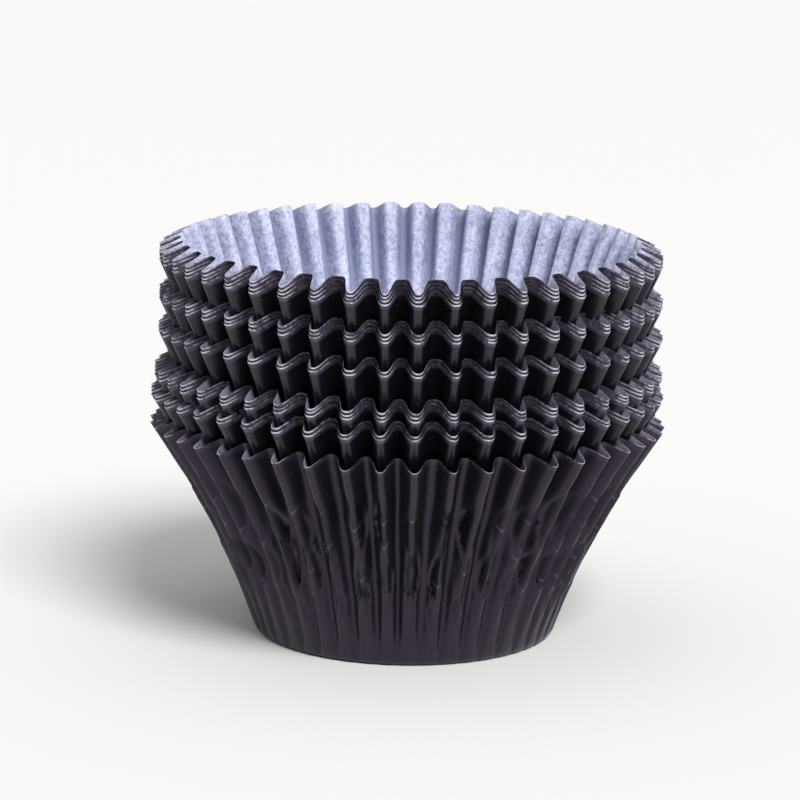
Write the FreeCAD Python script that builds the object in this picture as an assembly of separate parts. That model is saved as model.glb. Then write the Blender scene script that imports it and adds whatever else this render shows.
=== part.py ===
import FreeCAD, Part
import math
import os
import random

os.makedirs("parts", exist_ok=True)

# Stack of fluted paper cupcake liners, in mm: one loose liner at the bottom, and five tight nests
# that each stop some way above the tier below. Every liner is one folded sheet.
# The origin is the middle of the bottom liner's floor, on the table, with +Z up.

FLUTES = 48
# Angle of the first inward fold, in degrees from +X.
FIRST_FOLD = -1.9
FLOOR_RADIUS = 24.4
# Height of the outward lobes at the rim; the inward folds stand LOBE_RISE higher.
HEIGHT = 34.2
LOBE_RISE = 1.5
FLUTE_DEPTH = 3.4
PAPER_WALL = 0.12
PAPER_FLOOR = 0.1

# The loose bottom liner has sagged: its wall curves in by SAG at half height, and its bands are
# creased at the levels given as shares of the wall's height.
SAG = 1.4
CREASE_LEVELS = (0.2, 0.42, 0.62, 0.8)
CREASE_DEPTH = 0.25
CREASE_SEED = 5

# Radius of the loose liner's rim at its outward lobes.
RIM_RADIUS = 41.4

# For each nest from the bottom up: its liners, how much smaller its rim's radius is, how far its top
# rim stands above the top rim of the tier below, and its forward and sideways lean about the middle
# of its floor, in degrees.
NEST_LINERS = (2, 3, 2, 3, 4)
NEST_SHRINKS = (0.25, 0.7, 1.1, 1.3, 1.5)
NEST_RISES = (5.3, 3.7, 6.3, 5.9, 7.0)
NEST_NODS = (0.0, 0.5, 0.9, 1.5, 2.8)
NEST_ROLLS = (-0.2, 0.0, 0.4, 0.4, 0.2)
# Rise from one liner of a nest to the next, and the clearance where a nest sits in the tier below.
LINER_STEP = 0.55
SEAT_GAP = 0.4


def on_circle(radius, turn, z):
    """A point at a turn counted in flutes: whole turns are inward folds, half turns are lobes."""
    angle = math.radians(FIRST_FOLD) + turn * 2 * math.pi / FLUTES
    return FreeCAD.Vector(radius * math.cos(angle), radius * math.sin(angle), z)


def sag_at(level, sag):
    """How far a sagged wall has curved in at a level from 0 at the floor to 1 at the rim."""
    return 4 * sag * level * (1 - level)


def fold_radius(floor_radius, rim_radius, level, sag):
    return floor_radius + level * (rim_radius - FLUTE_DEPTH - floor_radius) - sag_at(level, sag)


def triangle(a, b, c):
    return Part.Face(Part.makePolygon([a, b, c, a]))


def ribbon(line, next_line):
    """Facets between two lines of as many points, which may meet at either end."""
    faces = []
    for k in range(len(line) - 1):
        if line[k] != next_line[k]:
            faces.append(triangle(line[k], next_line[k], line[k + 1]))
        if line[k + 1] != next_line[k + 1]:
            faces.append(triangle(next_line[k], next_line[k + 1], line[k + 1]))
    return faces


class Skin:
    """One face of the paper. From each foot, on the edge of the round floor, an inward fold runs
    up to the rim, and two edges of a band, which narrows up to the point of an outward lobe."""

    def __init__(self, floor_radius, rim_radius, floor_z, levels, sag, creases):
        self.floor_radius = floor_radius
        self.rim_radius = rim_radius
        self.floor_z = floor_z
        self.levels = levels
        self.sag = sag
        self.creases = creases

    def foot(self, turn):
        return on_circle(self.floor_radius, turn % FLUTES, self.floor_z)

    def lobe(self, turn):
        return on_circle(self.rim_radius, turn % FLUTES + 0.5, HEIGHT)

    def fold_line(self, turn):
        line = [self.foot(turn)]
        for level in self.levels:
            radius = fold_radius(self.floor_radius, self.rim_radius, level, self.sag)
            z = self.floor_z + level * (HEIGHT + LOBE_RISE - self.floor_z)
            line.append(on_circle(radius, turn % FLUTES, z))
        return line

    def band_edge(self, turn, foot):
        """The edge of a flute's band that starts at one of its two feet."""
        line = [foot]
        lobe = self.lobe(turn)
        for level, crease in zip(self.levels[:-1], self.creases[turn]):
            point = foot + (lobe - foot) * level
            outward = FreeCAD.Vector(point.x, point.y, 0).normalize()
            line.append(point - outward * (sag_at(level, self.sag) + crease))
        return line + [lobe]

    def rim(self):
        ring = []
        for turn in range(FLUTES + 1):
            ring.append(self.fold_line(turn)[-1])
            ring.append(self.lobe(turn))
        return ring[:-1]

    def floor(self):
        return Part.Face(Part.makePolygon([self.foot(turn) for turn in range(FLUTES + 1)]))

    def wall(self):
        faces = []
        for turn in range(FLUTES):
            fold, next_fold = self.fold_line(turn), self.fold_line(turn + 1)
            edge = self.band_edge(turn, fold[0])
            next_edge = self.band_edge(turn, next_fold[0])
            faces += ribbon(fold, edge) + ribbon(edge, next_edge) + ribbon(next_edge, next_fold)
        return faces


def liner(floor_radius, rim_radius, levels=(1.0,), sag=0.0, crease_depth=0.0):
    """One sheet folded into a fluted cup, standing on z = 0."""
    dice = random.Random(CREASE_SEED)
    creases = [[crease_depth * dice.random() for _ in levels] for _ in range(FLUTES)]
    outside = Skin(floor_radius, rim_radius, 0.0, levels, sag, creases)
    inside = Skin(
        floor_radius - PAPER_WALL, rim_radius - PAPER_WALL, PAPER_FLOOR, levels, sag, creases
    )
    faces = [outside.floor(), inside.floor()] + outside.wall() + inside.wall()
    faces += ribbon(outside.rim(), inside.rim())
    solid = Part.makeSolid(Part.makeShell(faces))
    if solid.Volume < 0:
        solid.reverse()
    return solid


def widest_floor(rim_radius, rim_below, clear_height, levels_below, sag_below):
    """The floor radius at which a straight liner, let down to clear_height above the floor of
    the one below, comes to rest SEAT_GAP inside its inward folds."""
    fold_height = HEIGHT + LOBE_RISE
    level = clear_height / fold_height
    choices = [fold_radius(FLOOR_RADIUS, rim_below, level, sag_below) - PAPER_WALL - SEAT_GAP]
    for level in levels_below:
        room = fold_radius(FLOOR_RADIUS, rim_below, level, sag_below) - PAPER_WALL - SEAT_GAP
        share = level - clear_height / fold_height
        if 0 < share < 1:
            choices.append((room - share * (rim_radius - FLUTE_DEPTH)) / (1 - share))
    return min(choices)


def save(name, solid):
    solid.exportStep("parts/" + name + ".step")


levels_below, sag_below = CREASE_LEVELS + (1.0,), SAG
save("liner_bottom", liner(FLOOR_RADIUS, RIM_RADIUS, levels_below, sag_below, CREASE_DEPTH))

floor_below, rim_below = 0.0, RIM_RADIUS
for nest, count in enumerate(NEST_LINERS):
    rim_radius = RIM_RADIUS - NEST_SHRINKS[nest]
    clear_height = NEST_RISES[nest] - (count - 1) * LINER_STEP
    outer_floor = widest_floor(rim_radius, rim_below, clear_height, levels_below, sag_below)
    base_z = floor_below + clear_height
    pivot = FreeCAD.Vector(0, 0, base_z)
    inner_floor = min(FLOOR_RADIUS, outer_floor)
    for k in range(count):
        floor_radius = outer_floor + k / (count - 1) * (inner_floor - outer_floor)
        solid = liner(floor_radius, rim_radius)
        solid.translate(FreeCAD.Vector(0, 0, base_z + k * LINER_STEP))
        solid.rotate(pivot, FreeCAD.Vector(1, 0, 0), NEST_NODS[nest])
        solid.rotate(pivot, FreeCAD.Vector(0, 1, 0), NEST_ROLLS[nest])
        save("nest_%d_liner_%d" % (nest + 1, k + 1), solid)
    levels_below, sag_below = (1.0,), 0.0
    floor_below, rim_below = base_z + (count - 1) * LINER_STEP, rim_radius
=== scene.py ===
import math

import bpy
import numpy as np
from mathutils import Matrix, Vector


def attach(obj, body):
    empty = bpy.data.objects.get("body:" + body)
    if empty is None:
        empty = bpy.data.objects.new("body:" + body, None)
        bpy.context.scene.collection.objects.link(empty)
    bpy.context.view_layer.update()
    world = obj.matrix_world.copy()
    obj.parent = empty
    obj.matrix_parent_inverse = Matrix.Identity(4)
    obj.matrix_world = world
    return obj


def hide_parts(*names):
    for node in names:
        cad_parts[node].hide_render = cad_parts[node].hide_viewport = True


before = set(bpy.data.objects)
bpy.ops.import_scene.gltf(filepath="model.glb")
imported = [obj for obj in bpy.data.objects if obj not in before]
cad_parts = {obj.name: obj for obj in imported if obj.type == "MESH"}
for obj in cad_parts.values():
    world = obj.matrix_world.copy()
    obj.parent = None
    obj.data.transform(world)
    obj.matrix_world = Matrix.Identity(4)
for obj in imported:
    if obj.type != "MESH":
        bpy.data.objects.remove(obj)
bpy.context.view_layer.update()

MM = 0.001

# The folded paper, in metres. Every other size of a liner is measured on its CAD node.
FLUTES = 48
PAPER = 0.1 * MM
FLOOR_CORNER = 1.1 * MM
FLOOR_ROWS = 3
# How far flutes stray from even spacing, as a share of a flute. Nested liners stray together.
UNEVEN_PITCH = 0.28
# How unevenly the rims are cut, so that the edges in a nest don't run quite alike.
UNEVEN_CUT = 0.55 * MM

# The loose bottom liner has sagged and is crumpled; the nests are straight.
BOTTOM_SAG = 1.4 * MM
# How far the walls of the lowest nest curve in, and how much less those of each nest above.
NEST_SAG = 1.0 * MM
NEST_SAG_STEP = 0.2 * MM
BOTTOM_CRUMPLE = 1.05 * MM
# Dents that meet add up to this many times the crumple at most, short of the liner inside.
DEEPEST_DENT = 1.1
# The rows of pinches in the lobes: seed, level, how far the level drifts round the liner, half
# length, and shares of the full depth and of the painted shade in their hollows.
PINCHES = (
    (10, 0.69, 0.2, 0.14, 1.0, 1.0),
    (20, 0.44, -0.2, 0.12, 1.0, 1.0),
    (60, 0.27, 0.2, 0.08, 0.7, 0.4),
)
# Pressed lobes: the teeth up a wall, and their depth as a share of the crumple.
PRESSED_TEETH = 4.5
PRESSED_DEPTH = 0.35
# How steep the flanks of the flutes are: 1 is a plain wave, 3 nearly square.
FLOOR_STEEPNESS = 1.2
NEST_STEEPNESS = 1.5
BOTTOM_STEEPNESS = 1.2
# How much narrower the lobes are than the folds at the rim, in a nest from its outermost to its
# innermost liner. The top nest has nothing inside it, so its folds widen most.
NEST_NARROWING = (-0.1, 0.2)
TOP_NEST_NARROWING = (-0.1, 0.95)
BOTTOM_NARROWING = 0.3

# Colours of the film: its two blacks, where it is scuffed, frayed or torn, and the painted highlight on
# its crease marks.
BLACKS = ((0.0028, 0.0021, 0.0035, 1), (0.0065, 0.0048, 0.008, 1))
SCUFFED = (0.06, 0.055, 0.075, 1)
FRAYED = (0.19, 0.165, 0.245, 1)
TORN = (0.74, 0.72, 0.84, 1)
CREASE_HIGHLIGHT = (0.11, 0.1, 0.13, 1)
# The film of a loose liner and of nested ones: roughness, strength and tint of the shine, and the
# level above which the edge is torn.
LOOSE = (0.33, 0.57, (0.84, 0.69, 1.0, 1), 0.9965)
NESTED = (0.25, 0.6, (0.9, 0.84, 1.0, 1), 0.9925)
# The level above which the film is rubbed.
RUBBED_FROM = 0.975
# The rows of crease marks on the loose liner's lobes, by level, painted pale as painted highlights.
CREASE_ROWS = (0.74, 0.58, 0.4)

# The greaseproof paper between its fibres and on them, where painted shade also darkens it towards the
# first, and how bright the hidden paper is painted, as painted shade.
PAPER_DARK = (0.27, 0.288, 0.42)
PAPER_PALE = (0.74, 0.775, 0.97)
HIDDEN_LIGHT = 0.45
# The cut edge in the folds, darkened as painted shade, and on the lobes.
EDGE_IN_PAINTED_SHADE = (0.035, 0.032, 0.05, 1)
EDGE_PALE = (0.8, 0.78, 0.88, 1)

# Blobs and grains in the paper and film, in noise cells to the metre.
FINE_GRAIN = 2600.0
FRAY = 1500.0
MOTTLE = 1100.0
SCUFF = 900.0
WEAR = 700.0
TEAR = 420.0
CLOUD = 160.0
PATCH = 130.0

# Columns to a flute and rows up the wall: fine where the wall is seen, plain where it is hidden.
SEEN_OUTSIDE = (16, 54)
SEEN_INSIDE = (16, 28)
MOSTLY_HIDDEN = (16, 9)

# The camera of the photograph, from fitting the rims and the base.
CAMERA_PLACE = Vector((-1.227, -380.85, 108.52)) * MM
CAMERA_DOWN = math.radians(10.6)
CAMERA_ROLL = math.radians(0.994)
CAMERA_LENS = 108.05

# The pale set: a floor that runs to the horizon, and a room that is as bright to the eye as the floor.
FLOOR_REACH = 40.0
ROOM_LOW = 0.12
ROOM_HIGH = 0.75
ROOM_SEEN = 0.9
FLOOR_COLOUR = (0.84, 0.83, 0.82, 1)
FLOOR_ASIDE = (0.25, 0.24, 0.25, 1)
KEY_PLACE = (0.3, -0.6, 0.75)
KEY_POWER = 2.8
KEY_ANGLE = math.radians(26)
STACK_MIDDLE = Vector((0, 0, 0.04))


class Number:
    """A number that varies over a mesh or a surface. Arithmetic on it adds Math nodes."""

    def __init__(self, graph, socket):
        self.graph = graph
        self.socket = socket

    def maths(self, operation, *others):
        return self.graph.maths(operation, self, *others)

    def __add__(self, other):
        return self.maths("ADD", other)

    def __sub__(self, other):
        return self.maths("SUBTRACT", other)

    def __rsub__(self, other):
        return self.graph.maths("SUBTRACT", other, self)

    def __mul__(self, other):
        return self.maths("MULTIPLY", other)

    def __truediv__(self, other):
        return self.maths("DIVIDE", other)

    def __rtruediv__(self, other):
        return self.graph.maths("DIVIDE", other, self)

    def __pow__(self, other):
        return self.maths("POWER", other)

    __radd__ = __add__
    __rmul__ = __mul__

    def at_least(self, other):
        return self.maths("MAXIMUM", other)

    def at_most(self, other):
        return self.maths("MINIMUM", other)

    def share(self):
        """The number kept between 0 and 1."""
        return self.at_least(0).at_most(1)

    def size(self):
        return self.maths("ABSOLUTE")

    def floor(self):
        return self.maths("FLOOR")

    def fraction(self):
        return self.maths("FRACT")

    def sine(self):
        return self.maths("SINE")

    def cosine(self):
        return self.maths("COSINE")


class Graph:
    """The nodes of one material or of one mesh tree."""

    def __init__(self, tree):
        self.tree = tree

    def node(self, kind, settings=None, values=None):
        made = self.tree.nodes.new(kind)
        for name, setting in (settings or {}).items():
            setattr(made, name, setting)
        for key, value in (values or {}).items():
            if isinstance(value, Number):
                value = value.socket
            if isinstance(value, bpy.types.NodeSocket):
                self.tree.links.new(value, made.inputs[key])
            else:
                made.inputs[key].default_value = value
        return made

    def number(self, kind, settings=None, values=None, output=0):
        return Number(self, self.node(kind, settings, values).outputs[output])

    def maths(self, operation, *values):
        return self.number("ShaderNodeMath", {"operation": operation}, dict(enumerate(values)))

    def vector(self, x, y, z):
        return self.node("ShaderNodeCombineXYZ", None, {0: x, 1: y, 2: z}).outputs[0]

    def noise(self, place, scale, detail=2.0, roughness=0.5):
        values = {"Vector": place, "Scale": scale, "Detail": detail, "Roughness": roughness}
        return self.number("ShaderNodeTexNoise", None, values, "Fac")

    def blend(self, factor, first, second):
        """One colour where factor is 0 and the other where it is 1."""
        mixed = self.node("ShaderNodeMix", {"data_type": "RGBA"}, {0: factor, 6: first, 7: second})
        return mixed.outputs[2]


# ---- the folded liner ----

LINER_SIZES = (
    "Columns", "Rows", "Floor radius", "Rim radius", "Height", "Lobe rise", "Flute depth",
    "First fold", "Sag", "Steepness", "Narrowing", "Crumple", "Seed", "Cut",
)
WHOLE_NUMBERS = ("Columns", "Rows", "Seed", "Cut")


def chance(graph, place, seed, low, high):
    """A number between low and high that stays the same wherever the whole number place does."""
    made = graph.node("FunctionNodeRandomValue", {"data_type": "FLOAT"}, {
        2: low, 3: high, "ID": place, "Seed": seed,
    })
    return Number(graph, made.outputs[1])


def pinch(graph, flute, across, level, seed, middle, half_length):
    """A pinch in a lobe: a hollow on either flank that deepens away from the ridge and ends at a
    crescent-shaped ledge. Gives the dent, and how much painted shade lies in it."""
    middle = middle + chance(graph, flute, seed + 1, -0.04, 0.04)
    half_length = half_length * chance(graph, flute, seed + 2, 0.75, 1.2)
    depth = chance(graph, flute, seed + 3, 0.5, 1.1)
    lean = chance(graph, flute, seed + 4, -0.06, 0.06)
    favoured = chance(graph, flute, seed + 5, -12.0, 12.0)
    side = ((across - lean) * favoured + 0.8).at_least(0.3).at_most(1)
    along = (level - middle) / half_length
    lens = (1 - along * along).at_least(0)
    from_ridge = (across - lean).size() / (0.07 + 0.11 * lens)
    pressed = side * depth * (lens * 1.5).at_most(1)
    hollow = from_ridge.at_most(1) * ((1.8 - from_ridge) * 1.5).share()
    dark = from_ridge.at_most(1) ** 1.5 * ((1.3 - from_ridge) * 5.0).share()
    return pressed * hollow * hollow * (3 - 2 * hollow), pressed * dark


def pressed_lobe(graph, flute, across, level, seed, teeth):
    """Where the lobes buckled: each tooth is pressed in above a V-shaped ledge and runs out upwards."""
    lean = chance(graph, flute, seed + 1, -0.1, 0.1)
    start = chance(graph, flute, seed + 2, 0.0, 1.0)
    off_ridge = (across - lean).size()
    climb = (level - 0.25 * off_ridge) * teeth + start
    tooth = climb.floor()
    depth = chance(graph, flute * 13 + tooth, seed + 3, -0.4, 1.0).at_least(0)
    run_out = 1 - climb.fraction()
    width = off_ridge / 0.34
    return depth * run_out * (1 - width * width).at_least(0)


def meander(graph, flute, level, seed):
    """How far a crumpled lobe's ridge strays to either side, in flutes for each mm of crumple."""
    zigzag = level * chance(graph, flute, seed + 41, 4.0, 8.0) + chance(graph, flute, seed + 42, 0.0, 2.0)
    return (zigzag.maths("PINGPONG", 1.0) - 0.5) * chance(graph, flute, seed + 43, 0.03, 0.13)


def crumpled_wall(graph, flute, across, level, seed):
    """How deep the wall is dented, in crumples, and how much painted shade its hollows get."""
    drift = graph.noise(graph.vector(flute * 0.35, seed * 2.3, 0.0), 1.0, 1.0) - 0.5
    dents = PRESSED_DEPTH * pressed_lobe(graph, flute, across, level, seed + 30, PRESSED_TEETH)
    dark = 0.0
    for start, middle, drifting, half_length, depth_share, dark_share in PINCHES:
        dent, shadow = pinch(
            graph, flute, across, level, seed + start, middle + drifting * drift, half_length,
        )
        dents = dents + depth_share * dent
        dark = dark + dark_share * shadow
    return dents, dark


def wall_shape(graph, sizes, turn, up_wall):
    """The outer face at a place counted in flutes and along the wall: its radius, its height, and how much
    painted shade its hollows get. Levels go from 0 at the floor to 1 at the rim."""
    seed = sizes["Seed"]
    run = sizes["Rim radius"] - sizes["Floor radius"]
    slant = (run * run + sizes["Height"] * sizes["Height"]).maths("SQRT")
    level = up_wall / slant
    flute = turn.floor()
    across = turn.fraction() - 0.5

    middle_wall = (level * 5.0 - 0.7).share() * ((0.93 - level) * 7.0).share()
    crumple = middle_wall * sizes["Crumple"]
    lobe_turn = across + meander(graph, flute, level, seed) * crumple / MM * (1 - 4 * across * across)

    # Narrow grooves between broad lobes at the floor; wide round folds between narrower lobes at the rim.
    groove = (lobe_turn * math.pi).sine().size() ** (2 + 5 * (1 - level) ** 3)
    lobe = (1 - groove).share() ** (1 + sizes["Narrowing"] * level)
    steepness = FLOOR_STEEPNESS + (sizes["Steepness"] - FLOOR_STEEPNESS) * level
    lobe = lobe ** steepness / (lobe ** steepness + (1 - lobe) ** steepness)
    depth = sizes["Flute depth"] * level.at_least(0.0001) ** 0.85
    radius = sizes["Floor radius"] + run * level - 4 * sizes["Sag"] * level * (1 - level)
    radius = radius - depth * (1 - lobe)

    dents, dark = crumpled_wall(graph, flute, across, level, seed)
    streak = graph.noise(graph.vector(turn * 2.0, level * 2.5, seed * 1.7), 1.0, 2.0) - 0.5
    radius = radius - crumple * dents.at_most(DEEPEST_DENT) + crumple * 0.3 * streak
    height = level * (sizes["Height"] + sizes["Lobe rise"] * (1 - lobe))
    return radius, height, (dark * crumple / MM).at_most(1)


def uneven_flutes(graph, sizes, share):
    """Turns round the liner, in flutes, with a little unevenness that all the rows share."""
    angle = share * (2 * math.pi)
    ring = graph.vector(angle.cosine(), angle.sine(), 0.0)
    turn = share * FLUTES + UNEVEN_PITCH * (graph.noise(ring, 6.0, 1.0) - 0.5)
    return turn, graph.vector(angle.cosine(), angle.sine(), sizes["Seed"] * 3.1)


def folded_liner_tree(cut_edge):
    """The mesh of one liner: outer face, inner face and cut edge, standing at the origin."""
    tree = bpy.data.node_groups.new("folded liner", "GeometryNodeTree")
    for name in LINER_SIZES:
        kind = "NodeSocketInt" if name in WHOLE_NUMBERS else "NodeSocketFloat"
        tree.interface.new_socket(name, in_out="INPUT", socket_type=kind)
    for name in ("Film", "Paper"):
        tree.interface.new_socket(name, in_out="INPUT", socket_type="NodeSocketMaterial")
    tree.interface.new_socket("Liner", in_out="OUTPUT", socket_type="NodeSocketGeometry")
    graph = Graph(tree)
    entry = graph.node("NodeGroupInput")
    sizes = {name: Number(graph, entry.outputs[name]) for name in LINER_SIZES}

    columns = sizes["Columns"] * FLUTES
    rows = sizes["Rows"] + FLOOR_ROWS
    grid = graph.node("GeometryNodeMeshGrid", None, {
        "Size X": 1.0, "Size Y": 1.0, "Vertices X": columns + 1, "Vertices Y": rows + 1,
    }).outputs["Mesh"]
    place = graph.node("ShaderNodeSeparateXYZ", None, {
        0: graph.node("GeometryNodeInputPosition").outputs[0],
    })
    share = Number(graph, place.outputs[0]) + 0.5
    row = ((Number(graph, place.outputs[1]) + 0.5) * rows).maths("ROUND")

    turn, ring = uneven_flutes(graph, sizes, share)
    run = sizes["Rim radius"] - sizes["Floor radius"]
    slant = (run * run + sizes["Height"] * sizes["Height"]).maths("SQRT")
    floor_share = (row / FLOOR_ROWS).at_most(1)
    wall_share = ((row - FLOOR_ROWS) / sizes["Rows"]).at_least(0)
    flat = sizes["Floor radius"] - FLOOR_CORNER
    path = -1 * sizes["Floor radius"] + flat * floor_share + (slant + FLOOR_CORNER) * wall_share
    in_corner = path.at_least(-FLOOR_CORNER).at_most(FLOOR_CORNER)
    up_wall = (in_corner + FLOOR_CORNER) ** 2 / (4 * FLOOR_CORNER)
    up_wall = up_wall + (path - FLOOR_CORNER).at_least(0)
    from_corner = (FLOOR_CORNER - in_corner) ** 2 / (4 * FLOOR_CORNER)
    from_corner = from_corner + (-FLOOR_CORNER - path).at_least(0)

    level = up_wall / slant
    angle = share * (2 * math.pi) + sizes["First fold"]
    cut = graph.noise(graph.vector(angle.cosine(), angle.sine(), sizes["Cut"] * 1.7), 13.0, 2.0) - 0.5
    up_wall = up_wall + UNEVEN_CUT * level ** 8 * cut
    radius, height, dark = wall_shape(graph, sizes, turn, up_wall)
    radius = radius - from_corner
    height = height + level ** 3 * 0.5 * MM * (graph.noise(ring, 2.0, 1.0) - 0.5)
    point = graph.vector(radius * angle.cosine(), radius * angle.sine(), height)

    # The paper is laid on inwards on the wall and upwards on the floor.
    on_floor = (1 - level * 40.0).at_least(0)
    inward = graph.vector(angle.cosine() * (on_floor - 1), angle.sine() * (on_floor - 1), on_floor)

    sheet = grid
    # The stored dark is how much painted shade the hollows of the loose liner get.
    # Turns are kept at the corners of the faces, so that they stay apart where the ends meet.
    for kind, domain, name, value in (
        ("FLOAT", "CORNER", "turn", turn), ("FLOAT", "POINT", "level", level),
        ("FLOAT", "POINT", "dark", dark), ("FLOAT_VECTOR", "POINT", "inward", inward),
    ):
        sheet = graph.node("GeometryNodeStoreNamedAttribute", {
            "data_type": kind, "domain": domain,
        }, {"Geometry": sheet, "Name": name, "Value": value}).outputs[0]
    sheet = graph.node("GeometryNodeSetPosition", None, {"Geometry": sheet, "Position": point})
    sheet = graph.node("GeometryNodeMergeByDistance", None, {
        "Geometry": sheet.outputs[0], "Distance": 0.001 * MM,
    }).outputs[0]

    stored = graph.node("GeometryNodeInputNamedAttribute", {
        "data_type": "FLOAT_VECTOR",
    }, {"Name": "inward"})
    thick = graph.node("GeometryNodeExtrudeMesh", {"mode": "FACES"}, {
        "Mesh": sheet, "Offset": stored.outputs[0], "Offset Scale": PAPER, "Individual": False,
    })
    inner = graph.node("GeometryNodeSetMaterial", None, {
        "Geometry": thick.outputs["Mesh"], "Selection": thick.outputs["Top"],
        "Material": entry.outputs["Paper"],
    })
    inner = graph.node("GeometryNodeSetMaterial", None, {
        "Geometry": inner.outputs[0], "Selection": thick.outputs["Side"], "Material": cut_edge,
    })
    inner = graph.node("GeometryNodeFlipFaces", None, {"Mesh": inner.outputs[0]})
    outer = graph.node("GeometryNodeSetMaterial", None, {
        "Geometry": sheet, "Material": entry.outputs["Film"],
    })
    joined = graph.node("GeometryNodeJoinGeometry")
    for part in (outer, inner):
        tree.links.new(part.outputs[0], joined.inputs[0])
    shell = graph.node("GeometryNodeMergeByDistance", None, {
        "Geometry": joined.outputs[0], "Distance": 0.001 * MM,
    }).outputs[0]
    shell = graph.node("GeometryNodeSetShadeSmooth", None, {"Geometry": shell}).outputs[0]
    bend = graph.number("GeometryNodeInputMeshEdgeAngle")
    shell = graph.node("GeometryNodeSetShadeSmooth", {"domain": "EDGE"}, {
        "Geometry": shell, "Selection": bend.maths("GREATER_THAN", 1.2), "Shade Smooth": False,
    }).outputs[0]
    real = graph.node("GeometryNodeRealizeInstances", None, {"Geometry": shell})
    leave = graph.node("NodeGroupOutput")
    tree.links.new(real.outputs[0], leave.inputs[0])
    return tree


def measure(node):
    """Where a CAD liner stands, and its sizes, from its flat underside and the points of its rim."""
    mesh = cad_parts[node].data
    points = np.array([v.co for v in mesh.vertices])
    under = set()
    tilt = Vector((0, 0, 0))
    for face in mesh.polygons:
        if face.normal.z < -0.98:
            under.update(face.vertices)
            tilt -= face.normal * face.area
    up = tilt.normalized()
    edge = np.unique(points[sorted(under)].round(6), axis=0)
    middle = Vector(edge.mean(axis=0))
    ahead = up.cross(Vector((1, 0, 0))).normalized()
    across = ahead.cross(up)
    stand = Matrix((across, ahead, up)).transposed().to_4x4()
    stand.translation = middle
    local = (points - np.array(middle)) @ np.array((across, ahead, up)).T
    floor = (edge - np.array(middle)) @ np.array((across, ahead, up)).T
    radius = np.hypot(local[:, 0], local[:, 1])
    lobe = radius.argmax()
    fold = local[:, 2].argmax()
    pitch = 2 * math.pi / FLUTES
    top = local[local[:, 2] > local[fold, 2] - 0.05 * MM]
    first_fold = math.atan2(top[0, 1], top[0, 0]) % pitch
    return stand, {
        "Floor radius": float(np.hypot(floor[:, 0], floor[:, 1]).max()),
        "Rim radius": float(radius[lobe]),
        "Height": float(local[lobe, 2]),
        "Lobe rise": float(local[fold, 2] - local[lobe, 2]),
        "Flute depth": float(radius[lobe] - radius[local[:, 2] > local[fold, 2] - 0.05 * MM].max()),
        "First fold": float(first_fold),
    }


def folded_liner(
    node, tree, film, paper, fineness, steepness, narrowing, seed, cut=0, sag=0.0, crumple=0.0,
):
    """The finished liner that stands for one CAD node."""
    stand, sizes = measure(node)
    columns, rows = fineness
    sizes.update({
        "Columns": columns, "Rows": rows, "Sag": sag, "Steepness": steepness,
        "Narrowing": narrowing, "Crumple": crumple, "Seed": seed, "Cut": cut,
        "Film": film, "Paper": paper,
    })
    blank = bpy.data.objects.new("blank", bpy.data.meshes.new("blank"))
    bpy.context.scene.collection.objects.link(blank)
    folding = blank.modifiers.new("folding", "NODES")
    folding.node_group = tree
    for socket in tree.interface.items_tree:
        if socket.in_out == "INPUT":
            folding[socket.identifier] = sizes[socket.name]
    folded = blank.evaluated_get(bpy.context.evaluated_depsgraph_get())
    mesh = bpy.data.meshes.new_from_object(folded)
    blank.modifiers.remove(folding)
    bpy.data.objects.remove(blank)
    mesh.transform(stand)
    mesh.name = "paper_" + node
    piece = bpy.data.objects.new("paper_" + node, mesh)
    bpy.context.scene.collection.objects.link(piece)
    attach(piece, "root")
    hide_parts(node)
    return piece


# ---- materials ----

def new_material(name):
    material = bpy.data.materials.new(name)
    material.use_nodes = True
    material.node_tree.nodes.clear()
    return material, Graph(material.node_tree)


def finish_material(graph, shader_values):
    shader = graph.node("ShaderNodeBsdfPrincipled", None, shader_values)
    graph.node("ShaderNodeOutputMaterial", None, {"Surface": shader.outputs[0]})


def object_place(graph):
    return graph.node("ShaderNodeTexCoord").outputs["Object"]


def kept_number(graph, name):
    return graph.number("ShaderNodeAttribute", {"attribute_name": name}, None, "Fac")


def crease_highlights(graph, turn, level):
    """Short V-shaped crease marks across the ridges where the paper buckled, painted pale as painted
    highlights.
    """
    flute = turn.floor()
    off_ridge = (turn.fraction() - 0.5).size()
    marks = 0.0
    for row, middle in enumerate(CREASE_ROWS):
        dice = graph.number("ShaderNodeTexWhiteNoise", {"noise_dimensions": "1D"}, {
            "W": flute + 60.0 * row,
        })
        above = level - (middle - 0.07 + 0.14 * dice) - 0.12 * off_ridge
        strength = ((dice * 7.0).fraction() * 2.0 - 0.6).share()
        marks = marks + strength * (1 - above.size() * 110).at_least(0) * (1 - off_ridge * 4.5).at_least(0)
    return marks


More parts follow.
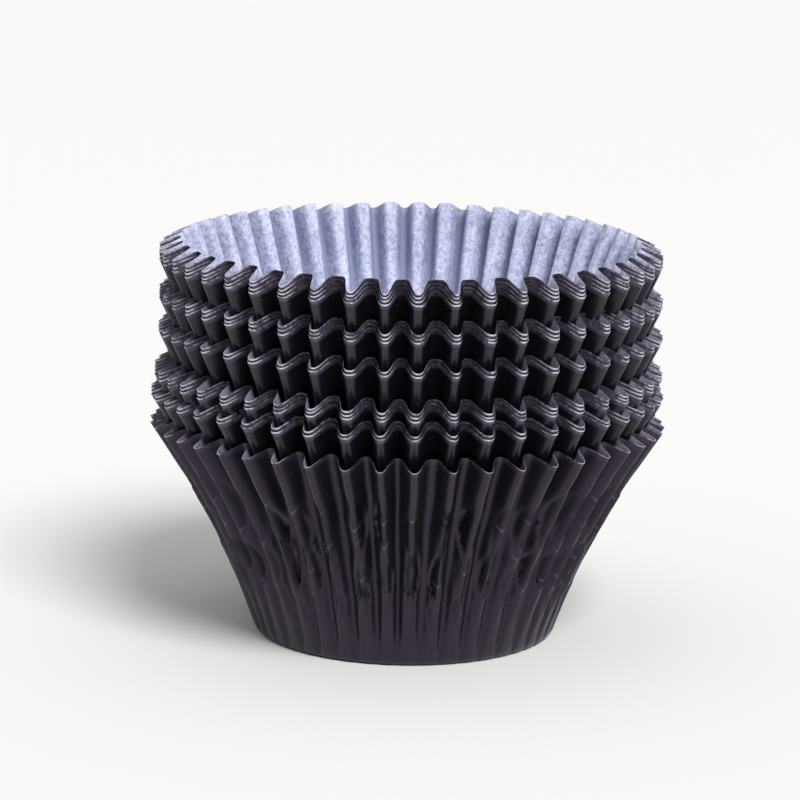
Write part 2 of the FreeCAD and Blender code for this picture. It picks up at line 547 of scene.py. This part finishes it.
def black_film(name, nested):
    """The outside: black greaseproof film with a satin shine, fine grain, scuffed folds and, on a loose
    liner, pale crease marks painted as highlights. The shine gives way to painted shade in the hollows of
    a loose liner, and in the folds and lower down the wall of nested liners, whose rims are rubbed pale."""
    material, graph = new_material(name)
    roughness, shine, tint, torn_from = NESTED if nested else LOOSE
    place = object_place(graph)
    turn = kept_number(graph, "turn")
    level = kept_number(graph, "level")
    grain = graph.noise(place, FINE_GRAIN, 3.0, 0.6)
    cloud = graph.noise(place, CLOUD, 3.0)
    up_wall = (level * 20.0).at_most(1)
    streak = up_wall * graph.noise(graph.vector(turn * 7.0, level * 2.0, 0.0), 1.0, 3.0)
    wave = (turn * math.pi).sine().size()
    ridge = up_wall * wave ** 14
    scuff = (graph.noise(place, SCUFF, 4.0, 0.7) * 3.0 - 1.6).share() * ridge
    rim = ((level - RUBBED_FROM) / (1 - RUBBED_FROM)).at_least(0) ** 0.5
    frayed = (rim * (graph.noise(place, FRAY, 3.0, 0.7) * 2.2 - 0.5)).share()
    frayed = frayed * ((0.26 + 0.45 * wave) if nested else 0.2)
    edge = ((level - torn_from) * 500.0).share()
    torn = (graph.noise(place, TEAR, 4.0, 0.8) * 7.0 - 3.7 + 1.1 * wave ** 3).share()
    torn = edge * torn * (0.15 + 0.85 * wave ** 4)
    colour = graph.blend(cloud, *BLACKS)
    colour = graph.blend(scuff * 0.5, colour, SCUFFED)
    colour = graph.blend(frayed, colour, FRAYED)
    colour = graph.blend(torn, colour, TORN)
    roughness = roughness + 0.14 * cloud + 0.12 * (streak - 0.5) + 0.15 * scuff
    roughness = roughness + 0.2 * frayed + 0.3 * torn
    wrinkle = graph.noise(graph.vector(turn * 5.0, level * 45.0, 0.0), 1.0, 2.0)
    # Painted highlights: pale crease marks on the loose liner's ridges. The same marks are also raised in
    # the bump.
    creases_and_highlights = 0.0 if nested else crease_highlights(graph, turn, level)
    if not nested:
        colour = graph.blend(creases_and_highlights.at_most(1), colour, CREASE_HIGHLIGHT)
    crumpled = 0.0 if nested else 7.0 * (level - 0.2).at_least(0) * (0.85 - level).at_least(0)
    bump = graph.node("ShaderNodeBump", None, {
        "Strength": 0.3, "Distance": 0.05 * MM,
        "Height": grain + 1.5 * cloud + 2.0 * streak + 6.0 * crumpled * wrinkle + 8.0 * creases_and_highlights,
    })
    film = graph.node("ShaderNodeBsdfPrincipled", None, {
        "Base Color": colour, "Roughness": roughness, "Specular IOR Level": shine,
        "Specular Tint": tint,
        "Normal": bump.outputs[0],
    })
    # A copy of the film without its shine, standing in for painted shade.
    film_in_painted_shade = graph.node("ShaderNodeBsdfPrincipled", None, {
        "Base Color": colour, "Roughness": 0.8, "Specular IOR Level": 0.05,
    })
    # Painted shade: on nested liners in the folds and lower down the wall, on the loose liner in the
    # hollows of its pinches.
    if nested:
        painted_shade = (0.95 - wave) * 2.2 + (0.96 - level).at_least(0) * 4.5
    else:
        painted_shade = kept_number(graph, "dark") * 0.75
    mixed = graph.node("ShaderNodeMixShader", None, {
        0: painted_shade.share(), 1: film.outputs[0], 2: film_in_painted_shade.outputs[0],
    })
    graph.node("ShaderNodeOutputMaterial", None, {"Surface": mixed.outputs[0]})
    return material


def greaseproof_paper(name, light):
    """The inside: pale blue-grey paper with a mottle of fibres, painted darker as painted shade from the
    middle of each column into the channels, and painted dimmer where liners are nested, as painted shade.
    """
    material, graph = new_material(name)
    place = object_place(graph)
    mottle = graph.noise(place, MOTTLE, 5.0, 0.7)
    fibre = graph.noise(place, FINE_GRAIN, 3.0, 0.65)
    patch = graph.noise(place, PATCH, 2.0)
    shade = (mottle * 0.6 + fibre * 0.4 + patch * 0.2 - 0.6) * 3.7 + 0.62
    # Painted shade: darker from the middle of each column towards the channels, and darkest down the
    # channels.
    off_fold = (kept_number(graph, "turn") * math.pi).sine().size()
    up_wall = (kept_number(graph, "level") * 2.0 - 0.1).share()
    channel_painted_shade = up_wall * off_fold ** 11
    shade = shade - 0.28 * up_wall * off_fold ** 2
    shade = (shade * (1 - 0.4 * channel_painted_shade) - 0.7 * channel_painted_shade).at_least(-0.5).at_most(1)
    dark, pale = np.array(PAPER_DARK) * light, np.array(PAPER_PALE) * light
    colour = graph.blend(shade, (*dark, 1), (*pale, 1))
    bump = graph.node("ShaderNodeBump", None, {
        "Strength": 0.5, "Distance": 0.08 * MM, "Height": mottle + fibre,
    })
    finish_material(graph, {
        "Base Color": colour, "Roughness": 0.75 + 0.15 * fibre, "Specular IOR Level": 0.3,
        "Normal": bump.outputs[0],
    })
    return material


def cut_paper():
    """The cut edge at the rim: pale and frayed on the lobes, and darkened in the folds as painted shade.
    """
    material, graph = new_material("cut paper edge")
    place = object_place(graph)
    lobe = (kept_number(graph, "turn") * math.pi).sine().size() ** 6
    wear = graph.noise(place, WEAR, 4.0, 0.7) * 3.0 - 1.0
    # Painted shade: the edge darkens from the lobes into the folds. The noise is wear.
    pale = (lobe * 0.75 + wear * 0.5 - 0.1).share()
    colour = graph.blend(pale, EDGE_IN_PAINTED_SHADE, EDGE_PALE)
    finish_material(graph, {"Base Color": colour, "Roughness": 0.5 + 0.2 * pale})
    return material


# ---- the set ----

def build_set():
    mesh = bpy.data.meshes.new("floor")
    reach = FLOOR_REACH
    corners = [(-reach, -reach, 0), (reach, -reach, 0), (reach, reach, 0), (-reach, reach, 0)]
    mesh.from_pydata(corners, [], [(0, 1, 2, 3)])
    floor = bpy.data.objects.new("floor", mesh)
    bpy.context.scene.collection.objects.link(floor)
    material, graph = new_material("pale floor")
    # In the film's reflections the floor darkens to either side, as the table does in the photograph.
    across = graph.node("ShaderNodeSeparateXYZ", None, {0: object_place(graph)})
    aside = ((Number(graph, across.outputs[0]).size() - 0.05) * 8.0).share()
    # Painted shade: the floor is darker to either side only in the film's reflections.
    mirrored = aside * Number(graph, graph.node("ShaderNodeLightPath").outputs["Is Glossy Ray"])
    colour = graph.blend(mirrored, FLOOR_COLOUR, FLOOR_ASIDE)
    finish_material(graph, {"Base Color": colour, "Roughness": 0.8, "Specular IOR Level": 0.1})
    mesh.materials.append(material)

    world = bpy.data.worlds.new("pale room")
    bpy.context.scene.world = world
    world.use_nodes = True
    world.node_tree.nodes.clear()
    graph = Graph(world.node_tree)
    ray = graph.node("ShaderNodeLightPath")
    seen = Number(graph, ray.outputs["Is Camera Ray"])
    sky = graph.node("ShaderNodeSeparateXYZ", None, {
        0: graph.node("ShaderNodeTexCoord").outputs["Generated"],
    })
    above = Number(graph, sky.outputs[2]).at_least(0)
    light = ROOM_LOW + (ROOM_HIGH - ROOM_LOW) * above
    strength = light + (ROOM_SEEN - light) * seen
    back = graph.node("ShaderNodeBackground", None, {"Color": (1, 1, 1, 1), "Strength": strength})
    graph.node("ShaderNodeOutputWorld", None, {"Surface": back.outputs[0]})


def add_key_light():
    light = bpy.data.lights.new("key", "SUN")
    light.energy = KEY_POWER
    light.angle = KEY_ANGLE
    lamp = bpy.data.objects.new("key", light)
    bpy.context.scene.collection.objects.link(lamp)
    lamp.location = KEY_PLACE
    lamp.rotation_euler = (STACK_MIDDLE - Vector(KEY_PLACE)).to_track_quat("-Z", "Y").to_euler()


def build_camera():
    data = bpy.data.cameras.new("camera")
    data.sensor_width = 36.0
    data.lens = CAMERA_LENS
    data.clip_start = 0.01
    camera = bpy.data.objects.new("camera", data)
    bpy.context.scene.collection.objects.link(camera)
    turn = Matrix.Rotation(math.pi / 2 - CAMERA_DOWN, 4, "X") @ Matrix.Rotation(CAMERA_ROLL, 4, "Z")
    camera.matrix_world = Matrix.Translation(CAMERA_PLACE) @ turn
    bpy.context.scene.camera = camera


loose_film, nested_film = black_film("loose film", False), black_film("nested film", True)
lit_paper = greaseproof_paper("lit paper", 1.0)
# The paper of the hidden liners is a copy painted darker, as painted shade.
paper_in_painted_shade = greaseproof_paper("dim paper", HIDDEN_LIGHT)
liner_tree = folded_liner_tree(cut_paper())
folded_liner(
    "liner_bottom", liner_tree, loose_film, paper_in_painted_shade, SEEN_OUTSIDE, BOTTOM_STEEPNESS, BOTTOM_NARROWING,
    seed=3, sag=BOTTOM_SAG, crumple=BOTTOM_CRUMPLE,
)
nests = {}
for name in sorted(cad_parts):
    if name.startswith("nest_"):
        nests.setdefault(int(name.split("_")[1]), []).append(name)
for nest, names in nests.items():
    for k, name in enumerate(names):
        widest, narrowest = TOP_NEST_NARROWING if nest == max(nests) else NEST_NARROWING
        narrowing = widest + k / (len(names) - 1) * (narrowest - widest)
        seen_inside = nest == max(nests) and name == names[-1]
        fineness = SEEN_INSIDE if seen_inside else MOSTLY_HIDDEN
        folded_liner(
            name, liner_tree, nested_film, lit_paper if seen_inside else paper_in_painted_shade, fineness,
            NEST_STEEPNESS, narrowing, seed=10 + nest, cut=10 * nest + k,
            sag=NEST_SAG - (nest - 1) * NEST_SAG_STEP,
        )

build_set()
add_key_light()
build_camera()
bpy.context.scene.view_settings.view_transform = "Standard"
